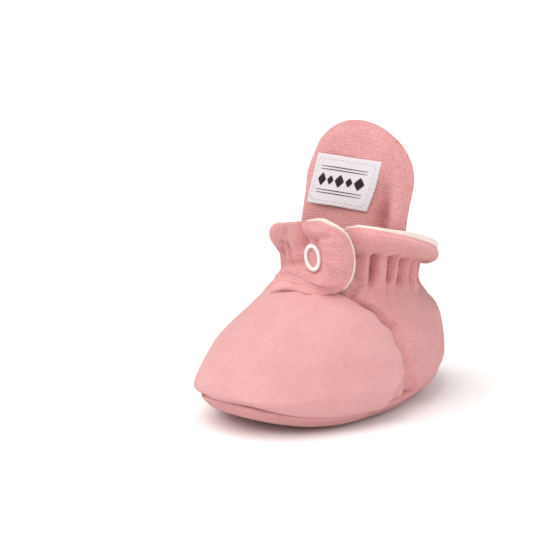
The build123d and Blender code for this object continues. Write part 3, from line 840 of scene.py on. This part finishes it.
def make_inner_quarter():
    """Inner quarter, cuff and flap in one: the flap is the end of the quarter's own cuff."""
    angle_a, height_a = half_panel(-1.0, TOP_SPLIT_ANGLE, -TOP_JOIN_ANGLE, -JOIN_ANGLE, JOIN_Z, ROWS)
    along_b, z_b = flap_sheet()
    angle_b = np.interp(along_b, FLAP_LENGTHS, FLAP_ANGLES)
    height_b = height_where(angle_b, z_b)
    angle = np.concatenate([angle_a, angle_b], 1)
    height = np.concatenate([height_a, height_b], 1)
    along = flap_along(angle)
    on_skin = skin(angle, height)
    z = on_skin[..., 2]
    first = angle_a.shape[1]        # the flap's first column
    z = np.concatenate([z[:, :first], z_b], 1)
    round_front = smooth(angle, -36, -14)
    band = polar(angle, flap_radius(np.maximum(angle, -60)), z)
    base = mixed(on_skin, band, round_front * smooth(z, 40.8, 49.4))
    columns = np.arange(angle.shape[1])[None] * np.ones((ROWS, 1))
    base = relaxed(base, smooth(columns, first - 14, first - 4) * (1 - smooth(z, 50, 56)), 150)
    below, heel, _ = edge_distances(base)
    edge = distance_to_edge(base, left=False)
    flap_share = round_front * smooth(z, 38, 43)
    on_seam = 1 - smooth(columns, SEAM_COLUMNS - 4, SEAM_COLUMNS + 1)
    # over the toe panel the quarter's front lies on top
    lap = angle + edge_angle(height, -1.0)
    shown = 1 - smooth(z, 24, 36)
    over = (0.9 + 2.0 * shown) * smooth(lap, -16, 0) * (1 - smooth(z, 44, 49)) * (1 - on_seam)
    over = over - 3.6 * np.exp(-(below / 2.6) ** 1.5) * (1 - shown) * (1 - on_seam) * (
        1 - smooth(along, 3.0, 16.0))
    over = over * smooth(z - sole_height(base[..., 1]), 7.0, 20.0)
    fold = gathers(angle, height) * (1 - smooth(angle, -33, -18)) * smooth(z, 40, 47)
    less = 0.45 * (1 - smooth(-angle, 60, 110))
    relief = cuff_relief(height) * (1 - less) - fold
    relief = swollen(relief, base, height, 31)
    proud = flap_relief(along, z, edge)
    seam = sunk_seam(below) * on_seam + sunk_heel(heel)
    whole = relief * (1 - flap_share) + proud * flap_share + over - seam
    out = normals(base)
    calm = smooth(columns[:, first:], first, first + 14)
    out[:, first:] = mixed(out[:, first:], steady(out[:, first - 4:], ring=4)[:, 4:], calm)
    out = unit(out)
    grid = base + out * whole[..., None]
    uv = np.stack([np.radians(angle) * ANKLE_ROUND, z * flap_share + height * (1 - flap_share)], -1) / 10
    rim_out = mixed(out, normals(grid), smooth(height, HEM - 6, HEM - 3) * (1 - flap_share))
    knit = slab("inner_quarter_and_flap", grid, OUTER_LAYER, VELOUR, uv, out=rim_out)
    give(knit, None, ("inner_quarter", "flap"))
    soft = cuff_relief(height, curl=False) * (1 - less) - fold
    soft = soft * (1 - flap_share) + proud * flap_share
    lining = base + out * (soft + over - seam - lining_depth(height, flap_share))[..., None]
    at_end = smooth(columns, first + 14, first + 36)
    hem = 0.5 * (1 - on_seam) * shown + 0.95 * at_end
    hem[-1] += 0.9 * smooth(-angle[-1], 50, 80)
    hem[:, 0] = 0.0
    lining = pushed_out(lining, out, hem)
    cotton = slab("inner_quarter_and_flap_lining", lining, LINING_LAYER, COTTON, uv, out=out)
    give(cotton, None, ("inner_quarter_lining", "flap_lining"))
    for piece in (knit, cotton):
        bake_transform(piece)


def make_outer_quarter():
    """Outer quarter and cuff, with the underlap that carries the stud beneath the flap."""
    angle_a, height_a = half_panel(1.0, 84.0, UNDERLAP_START, UNDERLAP_START, UNDERLAP_JOIN_Z, ROWS)
    under_angle = UNDERLAP_START + (UNDERLAP_END - UNDERLAP_START) * np.linspace(0, 1, 32)[1:]
    low = np.interp(under_angle, [0, 20, UNDERLAP_START], [46.0, 45.0, UNDERLAP_JOIN_Z])
    hem_z = float(skin(UNDERLAP_START, HEM)[2])
    high = np.interp(under_angle, [0, 30, UNDERLAP_START], [63.5, 64.0, hem_z])
    up = np.linspace(0, 1, ROWS)[:, None]
    z_b = low[None] * (1 - up) + high[None] * up
    angle_b = np.broadcast_to(under_angle[None], z_b.shape)
    height_b = height_where(angle_b, z_b)
    angle = np.concatenate([angle_a, angle_b], 1)[:, ::-1]
    height = np.concatenate([height_a, height_b], 1)[:, ::-1]
    base = skin(angle, height)
    z = base[..., 2]
    share = (1 - smooth(angle, 44, 60)) * smooth(z, 40.5, 46.5)
    band = polar(angle, underlap_radius(angle), z)
    base = mixed(base, band, share)
    below, _, heel = edge_distances(base)
    # the front edge runs in under the toe panel
    lap = edge_angle(height, 1.0) + 4.0 - angle
    under = 3.0 * smooth(lap, -2.5, 4.5) * (1 - smooth(z, 38, 44))
    relief = cuff_relief(height) - gathers(angle, height)
    relief = swollen(relief - sunk_seam(below) - under, base, height, 41)
    flat = (1 - smooth(angle, 37, 47)) * smooth(z, 40.5, 46.5)
    relief = relief * (1 - flat) - sunk_heel(heel)
    out = normals(base)
    grid = base + out * relief[..., None]
    uv = np.stack([np.radians(angle) * ANKLE_ROUND, height], -1) / 10
    rim_out = mixed(out, normals(grid), smooth(height, HEM - 6, HEM - 3))
    knit = slab("outer_quarter_and_underlap", grid, OUTER_LAYER, VELOUR, uv, out=rim_out)
    give(knit, "bootie", ("outer_quarter", "underlap", "ankle_elastic"))
    soft = cuff_relief(height, curl=False) - gathers(angle, height)
    soft = (soft - sunk_seam(below) - under) * (1 - flat) - sunk_heel(heel)
    lining = base + out * (soft - lining_depth(height, flat))[..., None]
    hem = np.zeros(angle.shape)
    hem[-1, 1:] = 0.9 * smooth(angle[-1, 1:], 60, 90)
    lining = pushed_out(lining, out, hem)
    cotton = slab("outer_quarter_and_underlap_lining", lining, LINING_LAYER, COTTON, uv, out=out)
    give(cotton, "bootie", ("outer_quarter_lining", "underlap_lining"))


# ---------- tongue and label
TONGUE_YAW, TONGUE_LEAN = math.radians(12), math.radians(15)
TONGUE_FRONT = np.array([3.3, 4.9, 60.0])
TONGUE_RADIUS, TONGUE_HALF_WIDTH, TONGUE_HEIGHT, TONGUE_DOME = 34.0, 22.8, 39.6, 21.0
TONGUE_ROOT = 22.0      # how far the tongue reaches below its fold line
TONGUE_X = np.array([math.cos(TONGUE_YAW), math.sin(TONGUE_YAW), 0])
TONGUE_FACE = np.array([math.sin(TONGUE_YAW), -math.cos(TONGUE_YAW), 0])
TONGUE_UP = TONGUE_FACE * -math.sin(TONGUE_LEAN) + np.array([0, 0, math.cos(TONGUE_LEAN)])
TONGUE_OUT = np.cross(TONGUE_X, TONGUE_UP)


def tongue_back(x):
    """How far the tongue curves back at a place across."""
    return TONGUE_RADIUS - np.sqrt(TONGUE_RADIUS ** 2 - np.clip(x, -30, 30) ** 2)


def tongue_shape(x, z):
    """The tongue's face, from the place across and the height above the fold line."""
    fade = 1 - smooth(z, 6, 25)
    fold = 5.4 * hill(x, 13.2 - 0.05 * z, 2.3) * fade
    wing = 3.0 * smooth(x, 13.6, 18.5) * (1 - smooth(z, 3, 30))
    left = 0.6 * hill(x, -13, 4) * fade
    puff = 0.7 * np.cos(np.clip(x / 24, -1.2, 1.2)) * smooth(z, -5, 12)
    forward = puff - tongue_back(x) - fold + wing - left
    return (TONGUE_FRONT + x[..., None] * TONGUE_X + z[..., None] * TONGUE_UP
            + forward[..., None] * TONGUE_OUT)


def tongue_base(points, x, z):
    """Below the fold line the tongue narrows and runs forward, to the top of the toe panel."""
    t = np.clip(-z / TONGUE_ROOT, 0, 1)
    front_y = np.interp(t, [0, 0.3, 0.62, 0.8, 1], [4.9, 2.6, -1.2, -5.0, -11.0])
    height = np.interp(t, [0, 0.3, 0.62, 0.8, 1], [60.0, 53.5, 46.0, 43.0, 42.6])
    width = 1 - 0.28 * smooth(t, 0, 0.7)
    back = tongue_back(x) * (1 - 0.5 * t)
    centre = np.stack([TONGUE_FRONT[0] * (1 - t), front_y, height], -1)
    low = centre + (x * width)[..., None] * TONGUE_X - back[..., None] * TONGUE_FACE
    return mixed(points, low, smooth(-z, -3, 4))


def make_tongue():
    """The padded tongue and its lining, from the top of the toe panel to the dome."""
    rows_low, rows_high, columns = 36, 44, 84
    half = TONGUE_HALF_WIDTH - 1.2
    straight = TONGUE_HEIGHT - TONGUE_DOME
    x_low = np.linspace(-half, half, columns)[None] * np.ones(rows_low)[:, None]
    z_low = np.linspace(-TONGUE_ROOT, straight, rows_low)[:, None] * np.ones(columns)[None]
    up, across = half_disc(rows_high, columns)
    x_high, z_high = across.T * half, straight + up.T * (TONGUE_DOME - 1.0)
    x, z = np.concatenate([x_low, x_high[1:]]), np.concatenate([z_low, z_high[1:]])
    points = tongue_base(tongue_shape(x, z), x, z)
    edge = distance_to_edge(points, low=False)
    out = steady(normals(points))
    roll = -1.9 * np.exp(-(edge / 2.6) ** 1.4)
    soft = 0.25 * waves(points, 22.0, 51) + 0.12 * waves(points, 9.0, 52)
    points = points + out * (roll + soft)[..., None]
    uv = np.stack([x, z], -1) / 10
    thick = 2.0 + 1.2 * (1 - np.exp(-edge / 3.0))
    face = slab("tongue_pad", points, thick, VELOUR, uv, arcs=6, out=out)
    give(face, None, ("tongue", "tongue_padding", "tongue_base"))
    behind = points - out * (thick + LAYER_GAP)[..., None]
    back = slab("tongue_back", behind[1:-1, 1:-1], LINING_LAYER, COTTON, uv[1:-1, 1:-1], out=out[1:-1, 1:-1])
    give(back, None, ("tongue_lining", "tongue_base_lining"))
    for piece in (face, back):
        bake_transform(piece)


LABEL_WIDTH, LABEL_HEIGHT, LABEL_LOW, LABEL_THICK = 24.5, 17.0, 9.0, 0.5
LABEL_SHIFT, LABEL_TURN, LABEL_SLANT = -2.6, math.radians(-3.0), 0.12
LABEL_LIFT = 0.95       # its face above the tongue's


def on_label(x, z, lift):
    """A point on the label's face: x across and z up from its middle, lift above the cloth."""
    x, z = np.broadcast_arrays(np.asarray(x, float), np.asarray(z, float))
    across = (x + z * LABEL_SLANT) * math.cos(LABEL_TURN) - z * math.sin(LABEL_TURN) + LABEL_SHIFT
    up = x * math.sin(LABEL_TURN) + z * math.cos(LABEL_TURN) + LABEL_LOW + LABEL_HEIGHT / 2
    step = 0.05
    point = tongue_shape(across, up)
    side = tongue_shape(across + step, up) - point
    rise = tongue_shape(across, up + step) - point
    normal = unit(np.cross(side, rise))
    bow = 0.22 * np.cos(x / 5.2 + 0.6) * (np.abs(z) / (LABEL_HEIGHT / 2)) ** 2
    return point + normal * (lift + bow)[..., None], normal


def make_label():
    rows, columns = 40, 56
    z = np.linspace(-0.5, 0.5, rows)[:, None] * LABEL_HEIGHT
    x = np.linspace(-0.5, 0.5, columns)[None, :] * LABEL_WIDTH
    waist = 1 - 0.012 * np.cos(x / LABEL_WIDTH * 2 * math.pi)
    points, _ = on_label(x, z * waist, LABEL_LIFT)
    uv = np.stack(np.broadcast_arrays(x, z), -1) / 10
    label = slab("woven_label_patch", points, LABEL_THICK, LABEL, uv, arcs=3)
    give(label, "tongue", ("woven_label",))


def label_run(start, end, lift=0.05, count=5):
    """A straight run of thread on the label."""
    t = np.linspace(0, 1, count)
    x, z = start[0] + (end[0] - start[0]) * t, start[1] + (end[1] - start[1]) * t
    return on_label(x, z, LABEL_LIFT + lift)


def make_label_stitches():
    inset, pitch, length = 1.3, 1.9, 1.05
    half_x, half_z = LABEL_WIDTH / 2 - inset, LABEL_HEIGHT / 2 - inset
    corners = [(-half_x, -half_z), (half_x, -half_z), (half_x, half_z), (-half_x, half_z)]
    runs = []
    for a, b in zip(corners, corners[1:] + corners[:1]):
        a, b = np.array(a), np.array(b)
        total = np.linalg.norm(b - a)
        count = round(total / pitch)
        for k in range(count):
            middle = a + (b - a) * (k + 0.5) / count
            reach = (b - a) / total * length / 2
            runs.append(label_run(middle - reach, middle + reach, lift=0.02))
    stitches = threads("label_stitches", runs, 0.17, LABEL_THREAD)
    give(stitches, "tongue", ("label_thread",))


def make_label_motif():
    """Plain woven ornament: a row of diamonds between two bars."""
    runs = []
    for z in (-4.6, 4.6, -3.6, 3.6):
        runs.append(label_run((-9.2, z), (9.2, z), count=24))
    for k in range(5):
        middle = -7.4 + 3.7 * k
        size, rings = (1.55, 6) if k % 2 else (2.2, 9)
        for scale in np.linspace(0.12, 1.0, rings):
            s = size * scale
            half = s * 0.8
            ring = [(middle - half, 0), (middle, s), (middle + half, 0), (middle, -s), (middle - half, 0)]
            for a, b in zip(ring, ring[1:]):
                runs.append(label_run(a, b, lift=0.04))
    motif = threads("label_motif", runs, 0.15, MOTIF_THREAD)
    give(motif, "tongue")


# ---------- stitches round the casing
def quarter_surface(angle, height):
    """The displaced face of a quarter at one height, with its normals."""
    a = np.stack([angle, angle, angle])
    h = height + np.array([-0.4, 0.0, 0.4])[:, None] * np.ones(len(angle))[None]
    base = skin(a, h)
    grid = base + normals(base) * (cuff_relief(h) - gathers(a, h))[..., None]
    normal = normals(grid)[1]
    return grid[1] + normal * 0.02, normal


def make_casing_stitches():
    angles = np.concatenate([np.arange(64, 178, 6.2), np.arange(-178, -50, 6.2)])
    reach = np.linspace(-1.8, 1.8, 5)
    runs = [quarter_surface(a + reach, height) for height in (CASING_LOW, CASING_HIGH) for a in angles]
    stitches = threads("casing_stitches", runs, 0.2, THREAD)
    give(stitches, "bootie", ("casing_thread_lower", "casing_thread_upper"))


def paint_snap():
    white = enamel("white_enamel", (0.80, 0.75, 0.74), 0.34)
    metal = enamel("plain_metal", (0.72, 0.70, 0.68), 0.25)
    put(metal.node_tree.nodes["Principled BSDF"], {"Metallic": 1.0})
    for node, material in (("snap_ring", white), ("snap_back_ring", white), ("snap_socket", metal),
                           ("snap_stud", metal)):
        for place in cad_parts[node].material_slots:
            place.material = material


def thread(name, lit, deep, sheen):
    return fabric(name, lit, deep, course_mm=0.3, wale_mm=0.3, course_depth=0.5, fuzz=0.2, sheen=sheen)


# Each cloth mixes its lit and deep colours by random mottle and by painted shade in its knit's and nap's
# hollows.
VELOUR = fabric("knit_velour", PINK_LIT, PINK_DEEP, course_mm=0.75, wale_mm=0.6, course_depth=1.25,
                fuzz=1.15, sheen=0.35)
NAP = fabric("brushed_velour", NAP_LIT, NAP_DEEP, course_mm=0.75, wale_mm=0.6, course_depth=0.15,
             fuzz=1.0, sheen=0.35, mottle=0.4)
COTTON = fabric("cotton_jersey", CREAM_LIT, CREAM_DEEP, course_mm=1.1, wale_mm=0.9, course_depth=0.5,
                fuzz=1.0, sheen=0.2)
LABEL = fabric("label_weave", (0.70, 0.65, 0.68), (0.60, 0.55, 0.58), course_mm=0.42, wale_mm=0.42,
               course_depth=0.3, fuzz=0.06, sheen=0.1, mottle=0.2)
LABEL_THREAD = thread("label_thread", (0.74, 0.69, 0.71), (0.62, 0.57, 0.60), 0.05)
MOTIF_THREAD = thread("motif_thread", (0.045, 0.028, 0.03), (0.02, 0.012, 0.014), 0.05)
THREAD = thread("pink_thread", (0.80, 0.36, 0.36), (0.66, 0.25, 0.26), 0.1)

make_camera()
make_studio()
make_sole()
make_insole()
make_toe()
make_inner_quarter()
make_outer_quarter()
make_tongue()
make_label()
make_label_stitches()
make_label_motif()
make_casing_stitches()
paint_snap()

bpy.context.view_layer.update()
